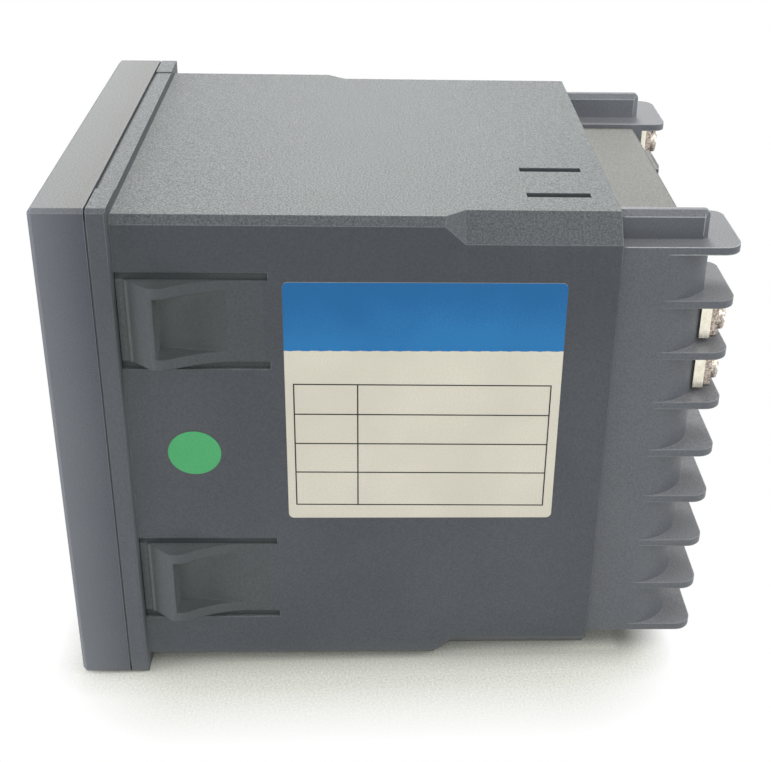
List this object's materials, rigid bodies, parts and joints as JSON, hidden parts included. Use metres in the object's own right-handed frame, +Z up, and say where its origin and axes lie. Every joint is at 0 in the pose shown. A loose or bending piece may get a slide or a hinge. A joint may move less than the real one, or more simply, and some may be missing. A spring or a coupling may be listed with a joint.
{
  "type": "panel-mount temperature controller",
  "caption": "Square panel-mount temperature controller: flanged case with snap latches, display front with press keys, and barrier screw terminals at the rear.",
  "frame": {"origin": "centre of the flange's back face, the plane that seats on the panel", "axes": "+Y runs from the front through the panel towards the terminals, +Z is up, +X is to the right seen from the front"},
  "size_m": [0.0988, 0.12, 0.096],
  "materials": {
    "case_plastic": "fine spark-eroded grain, dark grey",
    "bezel_plastic": "fine satin grain, dark blue-grey",
    "terminal_plastic": "smooth satin, dark blue-grey",
    "window_smoke": "smoked acrylic",
    "key_plastic": "satin moulded key caps",
    "plunger_plastic": "moulded",
    "switch_plastic": "moulded",
    "label_film": "printed gloss label with a blue head band",
    "sticker_film": "plain green foil sticker",
    "nickel": "nickel plated",
    "screw_steel": "nickel plated, bright",
    "segment_resin": "milky diffusing resin, unlit",
    "module_plastic": "painted black face",
    "lamp_resin": "tinted epoxy",
    "board_laminate": "green solder resist",
    "core_steel": "varnished laminations",
    "bobbin_nylon": "moulded",
    "winding_tape": "amber tape over copper wire",
    "relay_plastic": "moulded",
    "capacitor_sleeve": "shrink sleeve",
    "chip_epoxy": "moulded epoxy",
    "steel": "zinc plated"
  },
  "bodies": {
    "case": {"housing": "case_plastic", "front_bezel": "bezel_plastic", "display_window": "window_smoke", "rear_cover": "case_plastic", "terminal_strip_right": "terminal_plastic", "terminal_strip_left": "terminal_plastic", "terminal_plates": "nickel", "terminal_washers": "nickel", "terminal_screws": "screw_steel", "rating_label": "label_film", "inspection_sticker": "sticker_film", "tact_switches": "switch_plastic", "process_display": "module_plastic", "process_segments": "segment_resin", "setpoint_display": "module_plastic", "setpoint_segments": "segment_resin", "status_lamps": "lamp_resin", "display_board": "board_laminate", "board_screws": "steel", "power_board": "board_laminate", "control_board": "board_laminate", "board_headers": "switch_plastic", "transformer_core": "core_steel", "transformer_bobbin": "bobbin_nylon", "transformer_winding": "winding_tape", "output_relay": "relay_plastic", "filter_capacitors": "capacitor_sleeve", "control_chips": "chip_epoxy"},
    "latch_upper_right": {"latch_upper_right": "case_plastic"},
    "latch_lower_right": {"latch_lower_right": "case_plastic"},
    "latch_upper_left": {"latch_upper_left": "case_plastic"},
    "latch_lower_left": {"latch_lower_left": "case_plastic"},
    "key_set": {"key_set": "key_plastic", "plunger_set": "plunger_plastic"},
    "key_shift": {"key_shift": "key_plastic", "plunger_shift": "plunger_plastic"},
    "key_down": {"key_down": "key_plastic", "plunger_down": "plunger_plastic"},
    "key_up": {"key_up": "key_plastic", "plunger_up": "plunger_plastic"}
  },
  "joints": [
    {"name": "latch_upper_right_flex", "type": "hinge", "parent": "case", "child": "latch_upper_right", "pos_m": [0.04465, 0.02454, 0.0269], "axis": [0, 0, -1], "range_deg": [0, 11], "stiffness_Nm_per_rad": 0.8},
    {"name": "latch_lower_right_flex", "type": "hinge", "parent": "case", "child": "latch_lower_right", "pos_m": [0.04465, 0.02454, -0.0269], "axis": [0, 0, -1], "range_deg": [0, 11], "stiffness_Nm_per_rad": 0.8},
    {"name": "latch_upper_left_flex", "type": "hinge", "parent": "case", "child": "latch_upper_left", "pos_m": [-0.04465, 0.02454, 0.0269], "axis": [0, 0, 1], "range_deg": [0, 11], "stiffness_Nm_per_rad": 0.8},
    {"name": "latch_lower_left_flex", "type": "hinge", "parent": "case", "child": "latch_lower_left", "pos_m": [-0.04465, 0.02454, -0.0269], "axis": [0, 0, 1], "range_deg": [0, 11], "stiffness_Nm_per_rad": 0.8},
    {"name": "key_set_press", "type": "slide", "parent": "case", "child": "key_set", "axis": [0, 1, 0], "range_m": [0, 0.0005], "stiffness_N_per_m": 2000},
    {"name": "key_shift_press", "type": "slide", "parent": "case", "child": "key_shift", "axis": [0, 1, 0], "range_m": [0, 0.0005], "stiffness_N_per_m": 2000},
    {"name": "key_down_press", "type": "slide", "parent": "case", "child": "key_down", "axis": [0, 1, 0], "range_m": [0, 0.0005], "stiffness_N_per_m": 2000},
    {"name": "key_up_press", "type": "slide", "parent": "case", "child": "key_up", "axis": [0, 1, 0], "range_m": [0, 0.0005], "stiffness_N_per_m": 2000}
  ]
}
